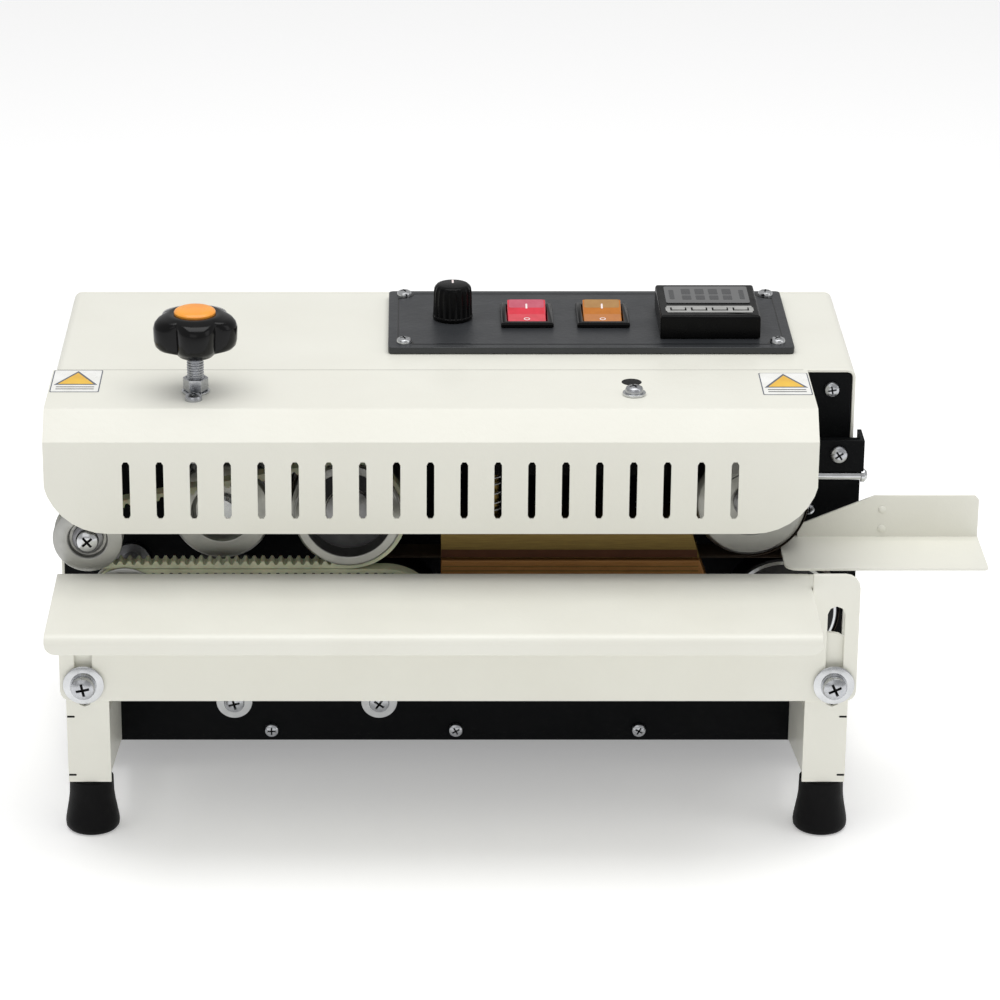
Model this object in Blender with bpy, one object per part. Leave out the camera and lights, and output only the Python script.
"""Desktop continuous band sealer, modelled as an assembly of separate pieces.

Every size below is in millimetres; the helpers turn them into metres.
Machine frame: X runs along the machine towards the infeed side, Y = 0 is the front face
of the front plate with +Y to the rear, and the table is at Z = TABLE_Z. The empty "machine"
shifts that frame so that the origin is the bottom centre of the whole object's box.
"""
from math import acos, asin, atan2, cos, degrees, hypot, pi, radians, sin, sqrt, tan

import bmesh
import bpy
from mathutils import Vector
from mathutils.geometry import tessellate_polygon

MM = 0.001
GAP = 0.3                       # clearance kept between two neighbouring solids
TABLE_Z = 2.5

# housing
HOUSING_LEFT = -168.6
HOUSING_WIDTH = 378.2
HOUSING_RIGHT = HOUSING_LEFT + HOUSING_WIDTH
HOUSING_DEPTH = 116.0
HOUSING_BOTTOM = 18.0
HOUSING_TOP = 210.5
HOUSING_SHEET = 1.5
HOUSING_CORNER = 4.0
FRONT_PLATE_THICKNESS = 2.0
CHASSIS_FACE_TOP = 60.0
CHASSIS_REAR_HEIGHT = 22.0
VENT_COUNT = 12
VENT_PITCH = 14.0
VENT_SIZE = (4.0, 40.0)

# front cover
COVER_LEFT = -169.2
COVER_MARGIN = 0.8              # past the band on the upper idler wheel
COVER_DEPTH = 65.4
COVER_CHAMFER = 12.1
COVER_BOTTOM = 153.3
COVER_CORNER = 29.0
COVER_SHEET = 1.2
SLOT_COUNT = 19
SLOT_FIRST = -131.4
SLOT_PITCH = 15.54
SLOT_WIDTH = 3.5
SLOT_LENGTH = 28.4
SLOT_LOWER_END = 160.5

# control panel
PANEL_LEFT = -11.4
PANEL_WIDTH = 193.9
PANEL_FRONT = 21.5
PANEL_DEPTH = 85.1
PANEL_THICKNESS = 3.3
PANEL_RIM = 7.0                 # panel edge that rests on the housing around its opening
KNOB_X = 19.8
SWITCH_ROW_Y = 65.0
KNOB_RADIUS = 9.75
KNOB_HEIGHT = 17.5
POT_RADIUS = 12.0
POT_SHAFT_RADIUS = 3.0
POT_BUSHING_RADIUS = 4.0
SWITCH_X = {"red": 55.8, "amber": 92.6}
SWITCH_BEZEL = (25.5, 31.0, 2.5)
SWITCH_BODY = (21.6, 27.6, 22.0)
ROCKER_WIDTH = 18.6
ROCKER_RADIUS = 12.2            # every corner of the rocker stays on this radius
ROCKER_TILT = 12.0
CONTROLLER_SIZE = 48.0
CONTROLLER_BODY = 44.4
CONTROLLER_HEIGHT = 11.5
CONTROLLER_REACH = 62.0         # how far its body reaches under the panel
CONTROLLER_CENTRE = (143.0, 57.4)
KEY_SIZE = (6.4, 3.4)
KEY_PITCH = 10.0
KEY_ROW = -14.2                 # key row, from the controller's centre
KEY_PROUD = 0.7
KEY_DEPTH = 3.0
KEY_TRAVEL = 0.5

# sealing mechanism
PARTING_Z = 129.5               # plane where the two bands meet
HALF_PARTING = 0.2
BAND_WIDTH = 15.0
BAND_FRONT = -35.0
BAND_THICKNESS = 0.25
BAND_GAP = 0.5                  # leaves room for the band's facets round the wheel
WHEEL_RADIUS = 27.3             # over the band
BELT_WIDTH = 7.5
BELT_FRONT = -50.0
BELT_THICKNESS = 1.8
BELT_TOOTH = 1.8
WHEEL_SPACING = 188.1
UPPER_DRIVE_X = -29.7
GEAR_TEETH = 23
PINION_TEETH = 14
GEAR_MODULE = 2.5
GEAR_BACKLASH = 0.5
GEAR_FRONT = 12.0
GEAR_WIDTH = 8.0
PINION_HUB_RADIUS = 7.0
PINION_STEPS = 5                # gear pitches between the upper gear's and the pinion's mesh
SHAFT_RADIUS = 6.0
SHAFT_REAR = 30.0
STUD_RADIUS = 5.0
STUD_THREAD_RADIUS = 4.0
GUIDE_RADIUS = 15.2             # over the guide belt
GUIDE_FLANGE_RADIUS = 16.3
UPPER_GUIDE_X = -151.1
FLANGE_THICKNESS = 1.7
DRIVE_FLANGE_RADIUS = 25.4
DRIVE_RECESS = 8.0
EMBOSSING_X = -89.0
EMBOSSING_RADIUS = 23.3
EMBOSSING_WIDTH = 17.0
EMBOSSING_FRONT = -38.0
ROLLER_RADIUS = 18.0
ARM_FRONT = -15.0
ARM_THICKNESS = 5.0
ARM_PIVOT = (-60.0, 172.0)
ARM_TAB_RISE = 3.7              # its tab, above the embossing wheel
MOTOR_RADIUS = 28.0
MOTOR_FRONT = 24.0
MOTOR_LENGTH = 72.0

# heating blocks
BLOCK_END_ROOM = (43.3, 23.2)   # from the drive and idler wheels' centres
BLOCK_FRONT = -38.0
BLOCK_WIDTH = 18.0
UPPER_BLOCK_HEIGHT = 20.0
LOWER_BLOCK_HEIGHT = 17.0
BLOCK_SLANT = 6.0
BLOCK_STUD_INSET = (24.4, 25.2)
BLOCK_STUD_RADIUS = 3.0
RAIL_BOTTOM = 171.0
RAIL_HEIGHT = 6.0
RAIL_ARM = 18.0

# pressure screw
SCREW_X = -100.4
SCREW_Y = -30.4
BOLT_RADIUS = 4.0
BOLT_CLEARANCE = 0.5
BOLT_BOTTOM = 194.3
STAR_RADIUS = 20.0
STAR_LOBES = 5
STAR_TURN = radians(-13.5)       # one lobe's direction from +X
STAR_HUB_BOTTOM = 228.8
STAR_BODY_BOTTOM = 233.5
STAR_BODY_TOP = 248.3
STAR_TOP = 252.9
SHOE_RADIUS = 6.5
SHOE_HEIGHT = 4.0

# tray, legs and feet
TRAY_LEFT = -165.6
TRAY_WIDTH = 350.6
TRAY_REAR = -54.0
TRAY_FRONT = -128.5
TRAY_TOP = 128.8
TRAY_SHEET = 1.2
TRAY_LIP = 9.0
TRAY_LIP_RADIUS = 4.0
TRAY_LIP_CORNER = 5.0
CARRIER_LEFT = -164.4
CARRIER_WIDTH = 371.8
CARRIER_BOTTOM = 72.0
CARRIER_FRONT = -73.0
CARRIER_SHEET = 2.0
CARRIER_HORN_TOP = 136.0
CARRIER_SLOT_TOP = 120.0
CARRIER_SLOT_WIDTH = 8.0
CLAMP_X = {"left": -153.2, "right": 196.7}
CLAMP_Z = 80.9
CLAMP_HEAD_RADIUS = 5.1
CLAMP_WASHER_RADIUS = 9.2
CLAMP_SHANK_RADIUS = 3.0
TRAY_RISE = 2.0
LEG_LEFT_EDGE = {"left": -161.9, "right": 183.9}
LEG_WIDTH = 20.1
LEG_SHEET = 2.0
LEG_TOP = 106.0
LEG_SLOT_WIDTH = 7.0
LEG_SLOT = (68.3, 88.0)
LEG_FLANGE_TOP = (64.0, 58.0)   # side flange, at its front and at the housing
LEG_FLANGE_BOTTOM = (33.0, 19.0)
FOOT_TOP = 29.0
FOOT_RADIUS = (12.8, 10.5)      # at the table and at the leg
REAR_FOOT_RADIUS = 10.0
REAR_FOOT_X = (-150.0, 190.0)
REAR_FOOT_Y = 100.0

# infeed side and rear
GUIDE_LEFT = HOUSING_RIGHT - 35.6
GUIDE_RIGHT = HOUSING_RIGHT + 59.1
GUIDE_FRONT = -56.0
GUIDE_REAR = -15.0
GUIDE_FLOOR = 131.0
GUIDE_SHEET = 1.2
GUIDE_WALL_TOP = 153.0
GUIDE_WALL_LOW = 138.0
GUIDE_WALL_BEND = HOUSING_RIGHT + 9.4
GUIDE_WALL_START = HOUSING_RIGHT - 26.6
GUIDE_CORNER = 6.0
BRACKET_RIGHT = HOUSING_RIGHT + 3.7
BRACKET_Z = (100.0, 176.5)
BRACKET_TAB_Z = (165.5, 181.0)
BRACKET_TAB_LEFT = HOUSING_RIGHT - 17.6
BRACKET_SHEET = 2.0
BRACKET_REACH = 17.0
INLET_CENTRE = (170.0, 60.0)
INLET_FLANGE = (30.0, 24.0)
INLET_BODY = (27.0, 20.0)
INLET_POCKET = (21.0, 14.0)
INLET_FLANGE_THICKNESS = 1.0

# worked out from the sizes above
COVER_RIGHT = UPPER_DRIVE_X + WHEEL_SPACING + WHEEL_RADIUS + COVER_MARGIN
BLOCK_LEFT = UPPER_DRIVE_X + BLOCK_END_ROOM[0]
BLOCK_RIGHT = UPPER_DRIVE_X + WHEEL_SPACING - BLOCK_END_ROOM[1]
BLOCK_STUD_X = (BLOCK_LEFT + BLOCK_STUD_INSET[0], BLOCK_RIGHT - BLOCK_STUD_INSET[1])
INNER_LEFT = HOUSING_LEFT + HOUSING_SHEET + GAP
INNER_RIGHT = HOUSING_RIGHT - HOUSING_SHEET - GAP
PANEL_BOTTOM = HOUSING_TOP + GAP
PANEL_TOP = PANEL_BOTTOM + PANEL_THICKNESS
UPPER_RUN = PARTING_Z + HALF_PARTING
LOWER_RUN = PARTING_Z - HALF_PARTING
GEAR_DISTANCE = GEAR_TEETH * GEAR_MODULE
WHEEL_STAGGER = sqrt(GEAR_DISTANCE ** 2 - (2 * WHEEL_RADIUS + 2 * HALF_PARTING) ** 2)
UPPER_DRIVE = (UPPER_DRIVE_X, UPPER_RUN + WHEEL_RADIUS)
LOWER_DRIVE = (UPPER_DRIVE_X + WHEEL_STAGGER, LOWER_RUN - WHEEL_RADIUS)
UPPER_IDLER = (UPPER_DRIVE[0] + WHEEL_SPACING, UPPER_DRIVE[1])
LOWER_IDLER = (LOWER_DRIVE[0] + WHEEL_SPACING, LOWER_DRIVE[1])
UPPER_GUIDE = (UPPER_GUIDE_X, UPPER_RUN + GUIDE_RADIUS)
LOWER_GUIDE = (UPPER_GUIDE_X + WHEEL_STAGGER, LOWER_RUN - GUIDE_RADIUS)
EMBOSSING = (EMBOSSING_X, UPPER_RUN + EMBOSSING_RADIUS)
ARM_TAB_TOP = EMBOSSING[1] + EMBOSSING_RADIUS + ARM_TAB_RISE
ROLLER = (EMBOSSING_X, LOWER_RUN - ROLLER_RADIUS)
RIM_RADIUS = WHEEL_RADIUS - BAND_THICKNESS - BAND_GAP
MESH_ANGLE = atan2(UPPER_DRIVE[1] - LOWER_DRIVE[1], UPPER_DRIVE[0] - LOWER_DRIVE[0])
PINION_ANGLE = MESH_ANGLE + PINION_STEPS * 2 * pi / GEAR_TEETH
PINION_DISTANCE = (GEAR_TEETH + PINION_TEETH) * GEAR_MODULE / 2
PINION = (LOWER_DRIVE[0] + PINION_DISTANCE * cos(PINION_ANGLE),
          LOWER_DRIVE[1] + PINION_DISTANCE * sin(PINION_ANGLE))
SHOE_BOTTOM = BOLT_BOTTOM - GAP - SHOE_HEIGHT
LEG_FRONT = CARRIER_FRONT + CARRIER_SHEET + GAP
REAR_FACE = HOUSING_DEPTH + INLET_FLANGE_THICKNESS
CENTRE_X = (COVER_LEFT + GUIDE_RIGHT) / 2
CENTRE_Y = (TRAY_FRONT + REAR_FACE) / 2

PAINTS = {
    "white_paint": ((0.86, 0.855, 0.77), 0.35, 0.0),
    "black_paint": ((0.012, 0.012, 0.013), 0.5, 0.0),
    "black_plastic": ((0.01, 0.01, 0.011), 0.35, 0.0),
    "black_rubber": ((0.015, 0.015, 0.016), 0.8, 0.0),
    "grey_rubber": ((0.12, 0.12, 0.12), 0.85, 0.0),
    "zinc_steel": ((0.62, 0.63, 0.65), 0.3, 1.0),
    "aluminium": ((0.72, 0.72, 0.73), 0.4, 1.0),
    "gear_steel": ((0.35, 0.35, 0.37), 0.4, 1.0),
    "heater_brass": ((0.5, 0.3, 0.1), 0.35, 1.0),
    "belt_urethane": ((0.66, 0.72, 0.55), 0.45, 0.0),
    "band_cloth": ((0.3, 0.2, 0.11), 0.5, 0.0),
    "red_plastic": ((0.7, 0.02, 0.05), 0.2, 0.0),
    "amber_plastic": ((0.6, 0.2, 0.02), 0.2, 0.0),
}


def clear_scene():
    for leftover in list(bpy.data.objects):
        bpy.data.objects.remove(leftover, do_unlink=True)


def paint(slot):
    """The named Principled material, made once."""
    found = bpy.data.materials.get(slot)
    if found:
        return found
    colour, roughness, metallic = PAINTS[slot]
    made = bpy.data.materials.new(slot)
    made.use_nodes = True
    shader = made.node_tree.nodes["Principled BSDF"]
    shader.inputs["Base Color"].default_value = (*colour, 1.0)
    shader.inputs["Roughness"].default_value = roughness
    shader.inputs["Metallic"].default_value = metallic
    return made


def solid(name, points, faces, slot, place=(0, 0, 0)):
    """An object from points in mm, with its faces turned outwards."""
    mesh = bpy.data.meshes.new(name)
    mesh.from_pydata([Vector(point) * MM for point in points], [], faces)
    work = bmesh.new()
    work.from_mesh(mesh)
    bmesh.ops.recalc_face_normals(work, faces=work.faces)
    work.to_mesh(mesh)
    work.free()
    mesh.shade_smooth()
    mesh.set_sharp_from_angle(angle=radians(30))
    mesh.materials.append(paint(slot))
    made = bpy.data.objects.new(name, mesh)
    made.location = Vector(place) * MM
    made.parent = bpy.data.objects.get("machine")
    bpy.context.collection.objects.link(made)
    return made


def loft(name, loops, slot, place=(0, 0, 0), ring=False):
    """Skin through loops of equal length; a ring joins its last loop to its first."""
    count = len(loops[0])
    points = [point for loop in loops for point in loop]
    faces = []
    bands = len(loops) if ring else len(loops) - 1
    for band in range(bands):
        here = band * count
        there = (band + 1) % len(loops) * count
        for step in range(count):
            after = (step + 1) % count
            faces.append((here + step, here + after, there + after, there + step))
    if not ring:
        faces.append(tuple(range(count)))
        faces.append(tuple(range(len(points) - count, len(points))))
    return solid(name, points, faces, slot, place)


def lifted(point, plane, height):
    """A flat point of a plane, at a height along the axis that the plane leaves out."""
    first, second = point
    if plane == "XZ":
        return (first, height, second)
    if plane == "YZ":
        return (height, first, second)
    return (first, second, height)


def prism(name, outlines, plane, start, end, slot, place=(0, 0, 0)):
    """The first outline, less the others, swept along the axis across its plane."""
    flat = [[Vector((x, y, 0)) for x, y in outline] for outline in outlines]
    triangles = tessellate_polygon(flat)
    corners = [point for outline in outlines for point in outline]
    count = len(corners)
    points = [lifted(point, plane, height) for height in (start, end) for point in corners]
    faces = [tuple(triangle) for triangle in triangles]
    faces += [tuple(count + corner for corner in reversed(triangle)) for triangle in triangles]
    first = 0
    for outline in outlines:
        size = len(outline)
        for step in range(size):
            a = first + step
            b = first + (step + 1) % size
            faces.append((a, b, count + b, count + a))
        first += size
    return solid(name, points, faces, slot, place)


def turned(name, profile, slot, place=(0, 0, 0), axis="Y", sides=24, ring=False):
    """A turned piece; the profile lists (height along the axis, radius)."""
    plane = {"Y": "XZ", "Z": "XY", "X": "YZ"}[axis]
    loops = [[lifted(point, plane, height) for point in circle(radius, sides)]
             for height, radius in profile]
    return loft(name, loops, slot, place, ring)


def cut(target, tool, operation="DIFFERENCE"):
    """Apply a Boolean with a tool object, then drop the tool."""
    change = target.modifiers.new("cut", "BOOLEAN")
    change.operation = operation
    change.solver = "EXACT"
    change.object = tool
    bpy.context.view_layer.update()
    graph = bpy.context.evaluated_depsgraph_get()
    shape = bpy.data.meshes.new_from_object(target.evaluated_get(graph))
    target.modifiers.clear()
    target.data = shape
    bpy.data.objects.remove(tool, do_unlink=True)
    return target


def joined(target, *others):
    for other in others:
        cut(target, other, "UNION")
    return target


def arc(centre, radius, start, end, steps):
    """Points on an arc, angles in degrees, both ends included."""
    turn = [radians(start + (end - start) * step / steps) for step in range(steps + 1)]
    return [(centre[0] + radius * cos(angle), centre[1] + radius * sin(angle)) for angle in turn]


def circle(radius, sides, centre=(0, 0)):
    return arc(centre, radius, 0, 360, sides)[:-1]


def box(left, right, low, high):
    return [(left, low), (right, low), (right, high), (left, high)]


def rounded(left, right, low, high, radii, steps=4):
    """A box outline with its own radius at lower left, lower right, upper right, upper left."""
    corners = ((left, low, 1, 1, 180), (right, low, -1, 1, 270),
               (right, high, -1, -1, 0), (left, high, 1, -1, 90))
    outline = []
    for (x, y, side, rise, start), radius in zip(corners, radii):
        if radius == 0:
            outline.append((x, y))
            continue
        centre = (x + side * radius, y + rise * radius)
        outline += arc(centre, radius, start, start + 90, steps)
    return outline


def slot_outline(x, low, high, width, steps=4):
    radius = width / 2
    lower = arc((x, low + radius), radius, 180, 360, steps)
    upper = arc((x, high - radius), radius, 0, 180, steps)
    return lower + upper


def centred(size, centre=(0, 0)):
    half_x, half_y = size[0] / 2, size[1] / 2
    return box(centre[0] - half_x, centre[0] + half_x, centre[1] - half_y, centre[1] + half_y)


def belt_outline(left, left_radius, right, right_radius, steps=12):
    """Open belt round two pulleys."""
    tilt = degrees(atan2(right[1] - left[1], right[0] - left[0]))
    distance = hypot(right[0] - left[0], right[1] - left[1])
    lean = degrees(asin((right_radius - left_radius) / distance))
    over = arc(right, right_radius, tilt - 90 - lean, tilt + 90 + lean, steps)
    back = arc(left, left_radius, tilt + 90 + lean, tilt + 270 - lean, steps)
    return over + back


def belt(name, left, left_radius, right, right_radius, thickness, front, width, slot):
    outer = belt_outline(left, left_radius, right, right_radius)
    inner = belt_outline(left, left_radius - thickness, right, right_radius - thickness)
    loops = [[lifted(point, "XZ", depth) for point in outline]
             for outline, depth in ((outer, front), (outer, front + width),
                                    (inner, front + width), (inner, front))]
    return loft(name, loops, slot, ring=True)


def gear_outline(teeth, phase):
    """Stub involute teeth; the phase is the angle of one tooth's middle, in radians."""
    pressure = radians(20)
    pitch_radius = teeth * GEAR_MODULE / 2
    base_radius = pitch_radius * cos(pressure)
    root = pitch_radius - 1.1 * GEAR_MODULE
    tip = pitch_radius + 0.8 * GEAR_MODULE
    half_tooth = (pi * GEAR_MODULE / 2 - GEAR_BACKLASH) / 2 / pitch_radius
    flank = []
    for radius in (root, pitch_radius, tip):
        roll = acos(min(1.0, base_radius / radius))
        flank.append((radius, half_tooth + tan(pressure) - pressure - (tan(roll) - roll)))
    outline = []
    for tooth in range(teeth):
        middle = phase + tooth * 2 * pi / teeth
        for radius, half in flank:
            outline.append((radius * cos(middle - half), radius * sin(middle - half)))
        for radius, half in reversed(flank):
            outline.append((radius * cos(middle + half), radius * sin(middle + half)))
    return outline


def at(centre, depth=0.0):
    """A place on the front plate's face, from (x, z)."""
    return (centre[0], depth, centre[1])


# ---------------------------------------------------------------- housing

def housing():
    left, right, top = HOUSING_LEFT, HOUSING_RIGHT, HOUSING_TOP
    inner_corner = HOUSING_CORNER - HOUSING_SHEET
    outer = rounded(left, right, HOUSING_BOTTOM, top, (0, 0, HOUSING_CORNER, HOUSING_CORNER))
    inner = rounded(left + HOUSING_SHEET, right - HOUSING_SHEET, HOUSING_BOTTOM,
                    top - HOUSING_SHEET, (0, 0, inner_corner, inner_corner))
    profile = outer[1:] + [outer[0]] + [inner[0]] + inner[:0:-1]
    rear = HOUSING_DEPTH - HOUSING_SHEET - GAP
    shell = prism("housing_shell", [profile], "XZ", 0, rear, "white_paint")
    opening = box(PANEL_LEFT + PANEL_RIM, PANEL_LEFT + PANEL_WIDTH - PANEL_RIM,
                  PANEL_FRONT + PANEL_RIM, PANEL_FRONT + PANEL_DEPTH - PANEL_RIM)
    cut(shell, prism("tool", [opening], "XY", top - 10, top + 10, "white_paint"))

    outline = rounded(left, right, HOUSING_BOTTOM, top, (0, 0, HOUSING_CORNER, HOUSING_CORNER))
    middle = (left + right) / 2
    vents = []
    for index in range(VENT_COUNT):
        x = middle + (index - (VENT_COUNT - 1) / 2) * VENT_PITCH
        low = (HOUSING_BOTTOM + top) / 2
        vents.append(slot_outline(x, low, low + VENT_SIZE[1], VENT_SIZE[0], 3))
    inlet_hole = centred((INLET_BODY[0] + 2 * GAP, INLET_BODY[1] + 2 * GAP), INLET_CENTRE)
    prism("rear_cover", [outline, inlet_hole] + vents, "XZ",
          HOUSING_DEPTH - HOUSING_SHEET, HOUSING_DEPTH, "white_paint")

    def layer(size, depth):
        return [lifted(point, "XZ", depth) for point in centred(size, INLET_CENTRE)]

    loft("power_inlet", [layer(INLET_POCKET, HOUSING_DEPTH - 12), layer(INLET_POCKET, REAR_FACE),
                         layer(INLET_FLANGE, REAR_FACE), layer(INLET_FLANGE, HOUSING_DEPTH + GAP),
                         layer(INLET_BODY, HOUSING_DEPTH + GAP),
                         layer(INLET_BODY, HOUSING_DEPTH - 18)], "black_plastic")

    bottom = CHASSIS_FACE_TOP + GAP
    outline = rounded(INNER_LEFT, INNER_RIGHT, bottom, top - HOUSING_SHEET - GAP,
                      (0, 0, inner_corner, inner_corner))
    holes = [circle(SHAFT_RADIUS + GAP, 16, centre) for centre in (UPPER_DRIVE, LOWER_DRIVE)]
    holes += [circle(STUD_THREAD_RADIUS + GAP, 12, centre)
              for centre in (UPPER_IDLER, LOWER_IDLER, UPPER_GUIDE, LOWER_GUIDE, ROLLER, ARM_PIVOT)]
    prism("front_plate", [outline] + holes, "XZ", 0, FRONT_PLATE_THICKNESS, "black_paint")

    thick = FRONT_PLATE_THICKNESS
    rear = HOUSING_DEPTH - HOUSING_SHEET - GAP
    low = HOUSING_BOTTOM
    profile = [(0, low), (rear, low), (rear, low + CHASSIS_REAR_HEIGHT),
               (rear - thick, low + CHASSIS_REAR_HEIGHT), (rear - thick, low + thick),
               (thick, low + thick), (thick, CHASSIS_FACE_TOP), (0, CHASSIS_FACE_TOP)]
    prism("base_chassis", [profile], "YZ", INNER_LEFT, INNER_RIGHT, "black_paint")


def front_cover():
    rear = -GAP - 0.1
    top, front, bottom = HOUSING_TOP, -COVER_DEPTH, COVER_BOTTOM
    outer = [(rear, bottom), (rear, top), (front + COVER_CHAMFER, top),
             (front, top - COVER_CHAMFER), (front, bottom)]
    cover = prism("front_cover", [outer], "YZ", COVER_LEFT, COVER_RIGHT, "white_paint")
    sheet = COVER_SHEET
    corner = COVER_CHAMFER - sheet * (2 - sqrt(2))
    inner = [(rear + 5, bottom - 5), (rear + 5, top - sheet),
             (front + sheet + corner, top - sheet), (front + sheet, top - sheet - corner),
             (front + sheet, bottom - 5)]
    cut(cover, prism("tool", [inner], "YZ", COVER_LEFT + sheet, COVER_RIGHT - sheet,
                     "white_paint"))
    outline = rounded(COVER_LEFT - 1, COVER_RIGHT + 1, bottom, top + 5,
                      (COVER_CORNER + 1, COVER_CORNER + 1, 0, 0), 8)
    cut(cover, prism("tool", [outline], "XZ", front - 5, 5, "white_paint"), "INTERSECT")
    for index in range(SLOT_COUNT):
        outline = slot_outline(SLOT_FIRST + index * SLOT_PITCH, SLOT_LOWER_END,
                               SLOT_LOWER_END + SLOT_LENGTH, SLOT_WIDTH, 3)
        cut(cover, prism("tool", [outline], "XZ", front - 5, front + 5, "white_paint"))
    hole = circle(BOLT_RADIUS + BOLT_CLEARANCE, 16, (SCREW_X, SCREW_Y))
    cut(cover, prism("tool", [hole], "XY", top - 5, top + 5, "white_paint"))


# ---------------------------------------------------------------- control panel

def control_panel():
    left, front = PANEL_LEFT, PANEL_FRONT
    outline = rounded(left, left + PANEL_WIDTH, front, front + PANEL_DEPTH, (2, 2, 2, 2), 2)
    holes = [circle(POT_BUSHING_RADIUS + GAP, 12, (KNOB_X, SWITCH_ROW_Y))]
    body = (SWITCH_BODY[0] + 2 * GAP, SWITCH_BODY[1] + 2 * GAP)
    holes += [centred(body, (x, SWITCH_ROW_Y)) for x in SWITCH_X.values()]
    side = CONTROLLER_BODY + 2 * GAP
    holes.append(centred((side, side), CONTROLLER_CENTRE))
    prism("control_panel", [outline] + holes, "XY", PANEL_BOTTOM, PANEL_TOP, "black_paint")
    speed_control()
    for colour, x in SWITCH_X.items():
        switch(colour, x)
    controller()


def speed_control():
    place = (KNOB_X, SWITCH_ROW_Y, PANEL_TOP)
    shaft_top = KNOB_HEIGHT - 6
    radius = KNOB_RADIUS
    turned("speed_knob", [(shaft_top + GAP, POT_SHAFT_RADIUS + GAP),
                          (GAP, POT_SHAFT_RADIUS + GAP), (GAP, radius - 1), (1.5, radius),
                          (KNOB_HEIGHT - 2, radius - 0.6), (KNOB_HEIGHT, radius - 2.2)],
           "black_plastic", place, "Z", 32)
    turned("speed_potentiometer", [(-PANEL_THICKNESS - 14, POT_RADIUS),
                                   (-PANEL_THICKNESS - GAP, POT_RADIUS),
                                   (-PANEL_THICKNESS - GAP, POT_BUSHING_RADIUS),
                                   (0, POT_BUSHING_RADIUS), (0, POT_SHAFT_RADIUS),
                                   (shaft_top, POT_SHAFT_RADIUS)], "zinc_steel", place, "Z", 16)


def switch(colour, x):
    """A bezel with its body under the panel, and the rocker that turns in it."""
    bezel_x, bezel_y, bezel_height = SWITCH_BEZEL
    body_x, body_y, reach = SWITCH_BODY
    mouth = (ROCKER_WIDTH + 2 * GAP + 0.4, 2 * (ROCKER_RADIUS + GAP + 0.1))

    def layer(size, height):
        return [lifted(point, "XY", height) for point in centred(size)]

    low = GAP
    high = GAP + bezel_height
    floor = -ROCKER_RADIUS + 1
    place = (x, SWITCH_ROW_Y, PANEL_TOP)
    loft(colour + "_switch_frame",
         [layer(mouth, floor), layer(mouth, high), layer((bezel_x - 1, bezel_y - 1), high),
          layer((bezel_x, bezel_y), high - 0.8), layer((bezel_x, bezel_y), low),
          layer((body_x, body_y), low), layer((body_x, body_y), -reach)],
         "black_plastic", place)
    lower = arc((0, 0), ROCKER_RADIUS, -8, 14, 3)
    upper = arc((0, 0), ROCKER_RADIUS, 166, 188, 3)
    profile = lower + [(0, 1.6)] + upper
    tilt = radians(ROCKER_TILT)
    leaned = [(y * cos(tilt) - z * sin(tilt), y * sin(tilt) + z * cos(tilt)) for y, z in profile]
    prism(colour + "_rocker", [leaned], "YZ", -ROCKER_WIDTH / 2, ROCKER_WIDTH / 2,
          colour + "_plastic", (x, SWITCH_ROW_Y, PANEL_TOP + 0.5))


def controller():
    half = CONTROLLER_BODY / 2
    place = (*CONTROLLER_CENTRE, PANEL_TOP)

    def layer(size, height):
        return [lifted(point, "XY", height) for point in centred((size, size))]

    low, high = GAP, GAP + CONTROLLER_HEIGHT
    body = loft("temperature_controller",
                [layer(2 * half, -CONTROLLER_REACH), layer(2 * half, low),
                 layer(CONTROLLER_SIZE, low), layer(CONTROLLER_SIZE, high - 1),
                 layer(CONTROLLER_SIZE - 1.6, high)], "black_plastic", place)
    for index in range(4):
        x = (index - 1.5) * KEY_PITCH
        pocket = centred((KEY_SIZE[0] + 2 * GAP, KEY_SIZE[1] + 2 * GAP), (x, KEY_ROW))
        floor = high - KEY_DEPTH - KEY_TRAVEL - GAP
        cut(body, prism("tool", [pocket], "XY", floor, high + 1, "black_plastic", place))
        outline = rounded(-KEY_SIZE[0] / 2, KEY_SIZE[0] / 2, -KEY_SIZE[1] / 2, KEY_SIZE[1] / 2,
                          (0.8, 0.8, 0.8, 0.8), 2)
        centre = (CONTROLLER_CENTRE[0] + x, CONTROLLER_CENTRE[1] + KEY_ROW, PANEL_TOP + high)
        prism(f"controller_key_{index + 1}", [outline], "XY", -KEY_DEPTH, KEY_PROUD,
              "black_plastic", centre)


# ---------------------------------------------------------------- drive and wheels

def drive_wheel(name, centre):
    """Band rim behind, toothed-belt seat in front, one solid."""
    seat = WHEEL_RADIUS - BELT_THICKNESS - BELT_TOOTH - GAP
    belt_rear = BELT_FRONT + BELT_WIDTH
    front = BELT_FRONT - GAP - FLANGE_THICKNESS
    bore = SHAFT_RADIUS + GAP
    rear = BAND_FRONT + BAND_WIDTH + 1.5
    floor = front + DRIVE_RECESS
    profile = [(floor, bore), (floor, 19.0), (front, 20.6), (front, DRIVE_FLANGE_RADIUS),
               (BELT_FRONT - GAP, DRIVE_FLANGE_RADIUS), (BELT_FRONT - GAP, seat),
               (belt_rear + GAP, seat), (belt_rear + GAP, RIM_RADIUS), (rear, RIM_RADIUS),
               (rear, bore)]
    turned(name, profile, "aluminium", at(centre), sides=32, ring=True)


def gear_shaft(name, centre, phase):
    front = BELT_FRONT - FLANGE_THICKNESS + DRIVE_RECESS + 1
    shaft = turned(name, [(front, SHAFT_RADIUS), (SHAFT_REAR, SHAFT_RADIUS)], "gear_steel",
                   at(centre), sides=16)
    wheel = prism("tool", [gear_outline(GEAR_TEETH, phase)], "XZ", GEAR_FRONT,
                  GEAR_FRONT + GEAR_WIDTH, "gear_steel", at(centre))
    joined(shaft, wheel)


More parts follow.
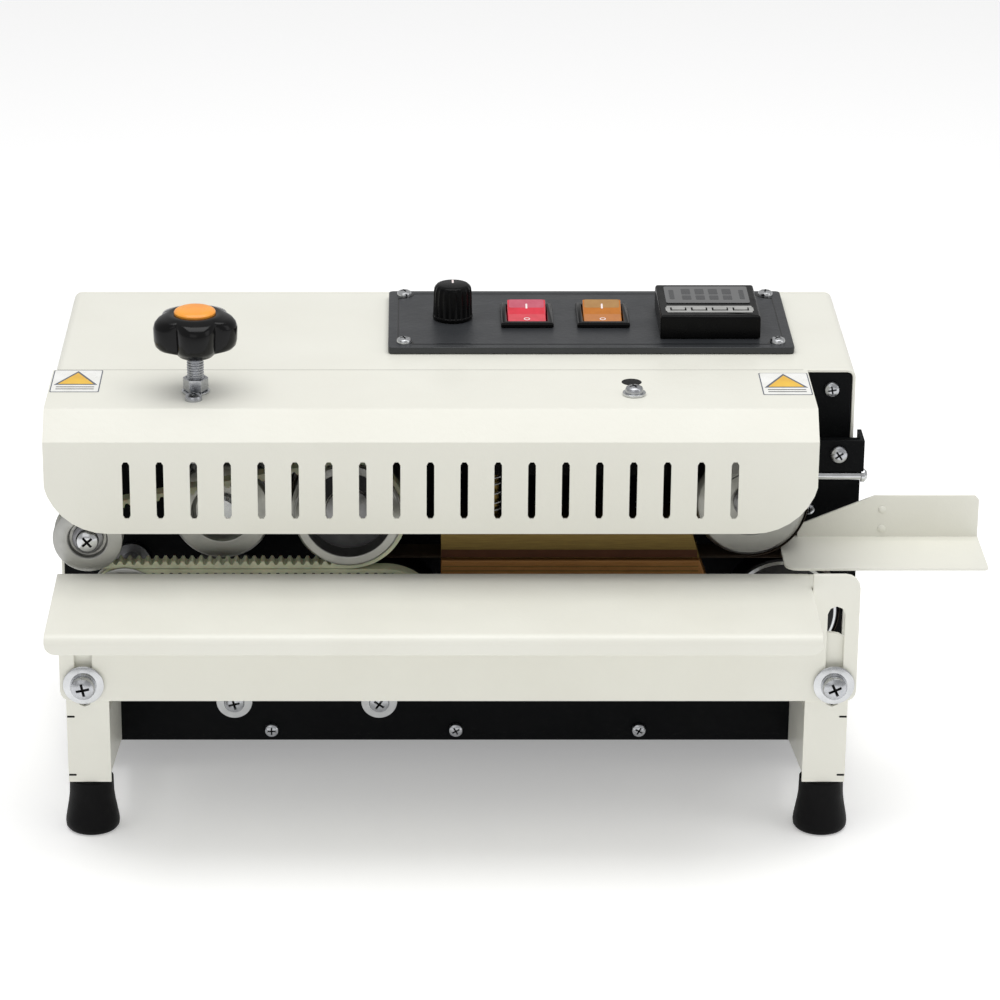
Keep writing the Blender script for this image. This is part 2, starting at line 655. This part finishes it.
def idler_wheel(name, centre):
    bore = STUD_RADIUS + GAP
    front = BAND_FRONT - 2
    rear = BAND_FRONT + BAND_WIDTH + 1.5
    profile = [(front + 4, bore), (front + 4, 14.0), (front, 15.5), (front, RIM_RADIUS),
               (rear, RIM_RADIUS), (rear, bore)]
    turned(name, profile, "aluminium", at(centre), sides=32, ring=True)
    stud(name.replace("wheel", "stud"), centre, front + 4 - GAP, 8.0)


def stud(name, centre, head_rear, head_radius, head_height=3.0):
    """A shoulder bolt: head in front, shoulder to the plate, thread through it."""
    profile = [(head_rear - head_height, head_radius * 0.8), (head_rear - head_height + 1, head_radius),
               (head_rear, head_radius), (head_rear, STUD_RADIUS), (-GAP - 3, STUD_RADIUS),
               (-GAP - 3, 9.0), (-GAP, 9.0), (-GAP, STUD_THREAD_RADIUS),
               (FRONT_PLATE_THICKNESS + 6, STUD_THREAD_RADIUS)]
    turned(name, profile, "zinc_steel", at(centre), sides=16)


def guide_pulley(name, centre):
    seat = GUIDE_RADIUS - BELT_THICKNESS - BELT_TOOTH - GAP
    bore = STUD_RADIUS + GAP
    front = BELT_FRONT - GAP - FLANGE_THICKNESS
    recess = front + 3
    belt_rear = BELT_FRONT + BELT_WIDTH
    rear = belt_rear + GAP + FLANGE_THICKNESS
    flange = GUIDE_FLANGE_RADIUS
    profile = [(recess, bore), (recess, 8.6), (front, 9.0), (front, flange - 2.5),
               (front + 0.8, flange), (BELT_FRONT - GAP, flange), (BELT_FRONT - GAP, seat),
               (belt_rear + GAP, seat), (belt_rear + GAP, flange), (rear, flange),
               (rear, bore)]
    turned(name, profile, "aluminium", at(centre), sides=24, ring=True)
    stud(name.replace("pulley", "stud"), centre, recess - GAP, 7.4, 2.4)


def drive():
    gear_pitch = 2 * pi / GEAR_TEETH
    drive_wheel("upper_drive_wheel", UPPER_DRIVE)
    drive_wheel("lower_drive_wheel", LOWER_DRIVE)
    gear_shaft("lower_gear_shaft", LOWER_DRIVE, MESH_ANGLE)
    gear_shaft("upper_gear_shaft", UPPER_DRIVE, MESH_ANGLE + pi + gear_pitch / 2)
    phase = PINION_ANGLE + pi + pi / PINION_TEETH
    pinion = prism("motor_pinion", [gear_outline(PINION_TEETH, phase)], "XZ", GEAR_FRONT,
                   GEAR_FRONT + GEAR_WIDTH, "gear_steel", at(PINION))
    hub = turned("tool", [(GEAR_FRONT + 2, PINION_HUB_RADIUS),
                          (MOTOR_FRONT - GAP, PINION_HUB_RADIUS)], "gear_steel", at(PINION),
                 sides=16)
    joined(pinion, hub)
    rear = MOTOR_FRONT + MOTOR_LENGTH
    turned("gear_motor", [(MOTOR_FRONT, MOTOR_RADIUS + 1), (MOTOR_FRONT + 22, MOTOR_RADIUS + 1),
                          (MOTOR_FRONT + 22, MOTOR_RADIUS - 2), (rear - 4, MOTOR_RADIUS - 2),
                          (rear, MOTOR_RADIUS - 10)], "gear_steel", at(PINION), sides=24)
    idler_wheel("upper_idler_wheel", UPPER_IDLER)
    idler_wheel("lower_idler_wheel", LOWER_IDLER)
    guide_pulley("upper_guide_pulley", UPPER_GUIDE)
    guide_pulley("lower_guide_pulley", LOWER_GUIDE)
    for name, left, right in (("upper", UPPER_DRIVE, UPPER_IDLER),
                              ("lower", LOWER_DRIVE, LOWER_IDLER)):
        belt(name + "_sealing_band", left, WHEEL_RADIUS, right, WHEEL_RADIUS, BAND_THICKNESS,
             BAND_FRONT, BAND_WIDTH, "band_cloth")
    for name, left, right in (("upper", UPPER_GUIDE, UPPER_DRIVE),
                              ("lower", LOWER_GUIDE, LOWER_DRIVE)):
        belt(name + "_guide_belt", left, GUIDE_RADIUS, right, WHEEL_RADIUS, BELT_THICKNESS,
             BELT_FRONT, BELT_WIDTH, "belt_urethane")


def embossing():
    """Embossing wheel on its swing arm, above a rubber backing roller."""
    bore = STUD_RADIUS + GAP
    front = EMBOSSING_FRONT
    rear = front + EMBOSSING_WIDTH
    profile = [(front + 4, bore), (front + 4, 13.0), (front, 14.5), (front, EMBOSSING_RADIUS - 0.8),
               (front + 1, EMBOSSING_RADIUS), (rear - 1, EMBOSSING_RADIUS),
               (rear, EMBOSSING_RADIUS - 0.8), (rear, bore)]
    turned("embossing_wheel", profile, "zinc_steel", at(EMBOSSING), sides=32, ring=True)
    radius = ROLLER_RADIUS
    profile = [(front + 4, bore), (front + 4, 10.0), (front, 11.0), (front, radius - 1),
               (front + 1, radius), (rear - 1, radius), (rear, radius - 1), (rear, bore)]
    turned("backing_roller", profile, "grey_rubber", at(ROLLER), sides=24, ring=True)
    stud("roller_stud", ROLLER, front + 4 - GAP, 8.0)
    stud("arm_pivot_stud", ARM_PIVOT, ARM_FRONT - GAP, 7.0)

    x, z = ARM_PIVOT
    wheel_x, wheel_z = EMBOSSING[0] - x, EMBOSSING[1] - z
    tab_left = SCREW_X - SHOE_RADIUS - 2 - x
    tab_top = ARM_TAB_TOP - z
    outline = ([(tab_left, tab_top), (tab_left, tab_top - 3)]
               + arc((wheel_x, wheel_z), 9.0, 180, 330, 6)
               + arc((0, 0), 9.0, 290, 450, 6))
    arm = prism("embossing_arm", [outline, circle(bore, 16)], "XZ", ARM_FRONT,
                ARM_FRONT + ARM_THICKNESS, "zinc_steel", at(ARM_PIVOT))
    tab_front = SCREW_Y - SHOE_RADIUS
    tab = prism("tool", [box(tab_left, SCREW_X + SHOE_RADIUS + 2 - x, tab_front,
                             ARM_FRONT + 1)], "XY", tab_top - 3, tab_top, "zinc_steel",
                at(ARM_PIVOT))
    head = front + 4 - GAP
    axle = turned("tool", [(head - 3, 6.0), (head - 2, 8.0), (head, 8.0), (head, STUD_RADIUS),
                           (ARM_FRONT + 1, STUD_RADIUS)], "zinc_steel", at(EMBOSSING), sides=16)
    joined(arm, tab, axle)


def pressure_screw():
    place = (SCREW_X, SCREW_Y, 0)
    turned("pressure_shoe", [(SHOE_BOTTOM, SHOE_RADIUS), (SHOE_BOTTOM + SHOE_HEIGHT, SHOE_RADIUS)],
           "zinc_steel", place, "Z", 16)
    turned("pressure_bolt", [(BOLT_BOTTOM, BOLT_RADIUS - 0.8), (BOLT_BOTTOM + 1, BOLT_RADIUS),
                             (STAR_HUB_BOTTOM - GAP, BOLT_RADIUS)], "zinc_steel", place, "Z", 16)
    sides = 8 * STAR_LOBES

    def lobed(height, scale):
        loop = []
        for step in range(sides):
            angle = 2 * pi * step / sides
            radius = scale * STAR_RADIUS * (0.9 + 0.1 * cos(STAR_LOBES * (angle - STAR_TURN)))
            loop.append((radius * cos(angle), radius * sin(angle), height))
        return loop

    def ring(height, radius):
        return [lifted(point, "XY", height) for point in circle(radius, sides)]

    loft("star_knob", [ring(STAR_HUB_BOTTOM, 8.0), ring(STAR_BODY_BOTTOM, 9.0),
                       lobed(STAR_BODY_BOTTOM + 1, 0.85), lobed(STAR_BODY_BOTTOM + 5, 0.98),
                       lobed(STAR_BODY_TOP - 6, 1.0), lobed(STAR_BODY_TOP, 0.86),
                       ring(STAR_BODY_TOP + 1, 12.5), ring(STAR_TOP, 11.0)],
         "black_plastic", place)


# ---------------------------------------------------------------- heating blocks

def heating_blocks():
    left, right = BLOCK_LEFT, BLOCK_RIGHT
    rear = BLOCK_FRONT + BLOCK_WIDTH
    middle = (BLOCK_FRONT + rear) / 2
    low = UPPER_RUN + BAND_THICKNESS + GAP
    high = low + UPPER_BLOCK_HEIGHT
    outline = [(left, low), (right, low), (right - BLOCK_SLANT, high), (left, high)]
    upper = prism("upper_heating_block", [outline], "XZ", BLOCK_FRONT, rear, "heater_brass")
    for x in BLOCK_STUD_X:
        top = RAIL_BOTTOM + RAIL_HEIGHT
        studs = turned("tool", [(high - 3, BLOCK_STUD_RADIUS), (top + 1, BLOCK_STUD_RADIUS),
                                (top + 1, 5.5), (top + 5, 5.5)], "heater_brass",
                       (x, middle, 0), "Z", 12)
        joined(upper, studs)
    holes = [circle(BLOCK_STUD_RADIUS + GAP, 12, (x, middle)) for x in BLOCK_STUD_X]
    block_rail("upper_block_rail", holes, RAIL_BOTTOM)
    high = LOWER_RUN - BAND_THICKNESS - GAP
    low = high - LOWER_BLOCK_HEIGHT
    outline = [(left, low), (right + BLOCK_SLANT, low), (right, high), (left, high)]
    prism("lower_heating_block", [outline], "XZ", BLOCK_FRONT, rear, "heater_brass")
    block_rail("lower_block_rail", [], low - GAP - RAIL_HEIGHT)


def block_rail(name, holes, bottom):
    """A rail along a heating block, with two arms back to the front plate."""
    left, right = BLOCK_STUD_X[0] - RAIL_ARM / 2, BLOCK_STUD_X[1] + RAIL_ARM / 2
    front, rear = BLOCK_FRONT + 2, BLOCK_FRONT + BLOCK_WIDTH - 2
    outline = [(left, front), (right, front), (right, -GAP), (right - RAIL_ARM, -GAP),
               (right - RAIL_ARM, rear), (left + RAIL_ARM, rear), (left + RAIL_ARM, -GAP),
               (left, -GAP)]
    prism(name, [outline] + holes, "XY", bottom, bottom + RAIL_HEIGHT, "aluminium")


# ---------------------------------------------------------------- tray, legs and feet

def tray():
    top, sheet, radius = TRAY_TOP, TRAY_SHEET, TRAY_LIP_RADIUS
    bend = (TRAY_FRONT + radius, top - radius)
    profile = ([(TRAY_REAR, top)] + arc(bend, radius, 90, 180, 4)
               + [(TRAY_FRONT, top - TRAY_LIP), (TRAY_FRONT + sheet, top - TRAY_LIP)]
               + arc(bend, radius - sheet, 180, 90, 4) + [(TRAY_REAR, top - sheet)])
    left, right = TRAY_LEFT, TRAY_LEFT + TRAY_WIDTH
    made = prism("tray", [profile], "YZ", left, right, "white_paint")
    corner = TRAY_LIP_CORNER
    outline = rounded(left, right, top - TRAY_LIP, top + 1, (corner, corner, 0, 0))
    cut(made, prism("tool", [outline], "XZ", TRAY_FRONT - 1, TRAY_REAR + 1, "white_paint"),
        "INTERSECT")

    left, right = CARRIER_LEFT, CARRIER_LEFT + CARRIER_WIDTH
    beam_top = top - sheet - GAP
    horn_left = TRAY_LEFT + TRAY_WIDTH + GAP
    outline = (rounded(left, right, CARRIER_BOTTOM, CARRIER_HORN_TOP, (5, 5, 7, 0))[:-1]
               + [(horn_left, CARRIER_HORN_TOP), (horn_left, beam_top), (left, beam_top)])
    slots = [slot_outline(x, CLAMP_Z - CARRIER_SLOT_WIDTH / 2 - TRAY_RISE, CARRIER_SLOT_TOP,
                          CARRIER_SLOT_WIDTH) for x in CLAMP_X.values()]
    prism("tray_carrier", [outline] + slots, "XZ", CARRIER_FRONT, CARRIER_FRONT + CARRIER_SHEET,
          "white_paint")


def leg(side):
    """Slotted front plate with a side flange that runs back to the housing."""
    left = LEG_LEFT_EDGE[side]
    right = left + LEG_WIDTH
    radius = LEG_WIDTH / 2 - 1
    plate = rounded(left, right, FOOT_TOP + GAP, LEG_TOP, (0, 0, radius, radius))
    opening = slot_outline(CLAMP_X[side], *LEG_SLOT, LEG_SLOT_WIDTH)
    front = LEG_FRONT
    body = prism(side + "_leg", [plate, opening], "XZ", front, front + LEG_SHEET, "white_paint")
    inner = right - LEG_SHEET if side == "left" else left
    rear = -GAP
    profile = [(front + 1, LEG_FLANGE_BOTTOM[0]), (rear, LEG_FLANGE_BOTTOM[1]),
               (rear, LEG_FLANGE_TOP[1]), (front + 1, LEG_FLANGE_TOP[0])]
    inset = 0.2 if side == "left" else -0.2
    flange = prism("tool", [profile], "YZ", inner - inset, inner + LEG_SHEET - inset,
                   "white_paint")
    joined(body, flange)
    middle = (left + right) / 2
    base, neck = FOOT_RADIUS
    table = TABLE_Z
    turned(side + "_front_foot", [(table, base - 1), (table + 1, base), (table + 4, base - 0.2),
                                  (FOOT_TOP - 6, neck), (FOOT_TOP, neck)],
           "black_rubber", (middle, front + neck - 2, 0), "Z", 24)
    head, washer = CLAMP_HEAD_RADIUS, CLAMP_WASHER_RADIUS
    face = CARRIER_FRONT - GAP
    turned(side + "_clamp_screw", [(face - 6.6, head - 1.6), (face - 5.8, head - 0.4),
                                   (face - 4.4, head), (face - 1.6, head), (face - 1.6, washer),
                                   (face, washer), (face, CLAMP_SHANK_RADIUS),
                                   (front + LEG_SHEET + 8, CLAMP_SHANK_RADIUS)],
           "zinc_steel", (CLAMP_X[side], 0, CLAMP_Z), sides=20)


def rear_feet():
    top = HOUSING_BOTTOM - GAP
    for side, x in zip(("left", "right"), REAR_FOOT_X):
        turned(side + "_rear_foot", [(TABLE_Z, REAR_FOOT_RADIUS - 1),
                                     (TABLE_Z + 1, REAR_FOOT_RADIUS),
                                     (top, REAR_FOOT_RADIUS - 1.5)], "black_rubber",
               (x, REAR_FOOT_Y, 0), "Z", 20)


# ---------------------------------------------------------------- infeed side

def infeed():
    outline = rounded(GUIDE_LEFT, GUIDE_RIGHT, GUIDE_FRONT, GUIDE_REAR, (GUIDE_CORNER, 2, 0, 0))
    guide = prism("infeed_guide", [outline], "XY", GUIDE_FLOOR, GUIDE_FLOOR + GUIDE_SHEET,
                  "white_paint")
    wall = [(GUIDE_WALL_START, GUIDE_FLOOR + 0.4), (GUIDE_RIGHT - 0.2, GUIDE_FLOOR + 0.4),
            (GUIDE_RIGHT - 0.2, GUIDE_WALL_TOP - 2), (GUIDE_RIGHT - 2, GUIDE_WALL_TOP),
            (GUIDE_WALL_BEND, GUIDE_WALL_TOP), (GUIDE_WALL_START, GUIDE_WALL_LOW)]
    joined(guide, prism("tool", [wall], "XZ", GUIDE_REAR - GUIDE_SHEET - 0.2, GUIDE_REAR - 0.2,
                        "white_paint"))
    left, right = COVER_RIGHT + GAP, BRACKET_RIGHT
    sheet = BRACKET_SHEET
    bracket = prism("guide_bracket", [box(left, right, *BRACKET_Z)], "XZ", -GAP - sheet, -GAP,
                    "black_paint")
    reach = -GAP - BRACKET_REACH
    arm = [(right - sheet - 0.2, -GAP - 1), (right - sheet - 0.2, reach + sheet),
           (BRACKET_TAB_LEFT, reach + sheet), (BRACKET_TAB_LEFT, reach), (right - 0.2, reach),
           (right - 0.2, -GAP - 1)]
    joined(bracket, prism("tool", [arm], "XY", *BRACKET_TAB_Z, "black_paint"))


def main():
    clear_scene()
    machine = bpy.data.objects.new("machine", None)
    machine.location = (-CENTRE_X * MM, -CENTRE_Y * MM, -TABLE_Z * MM)
    bpy.context.collection.objects.link(machine)
    housing()
    front_cover()
    control_panel()
    drive()
    embossing()
    pressure_screw()
    heating_blocks()
    tray()
    for side in ("left", "right"):
        leg(side)
    rear_feet()
    infeed()


main()
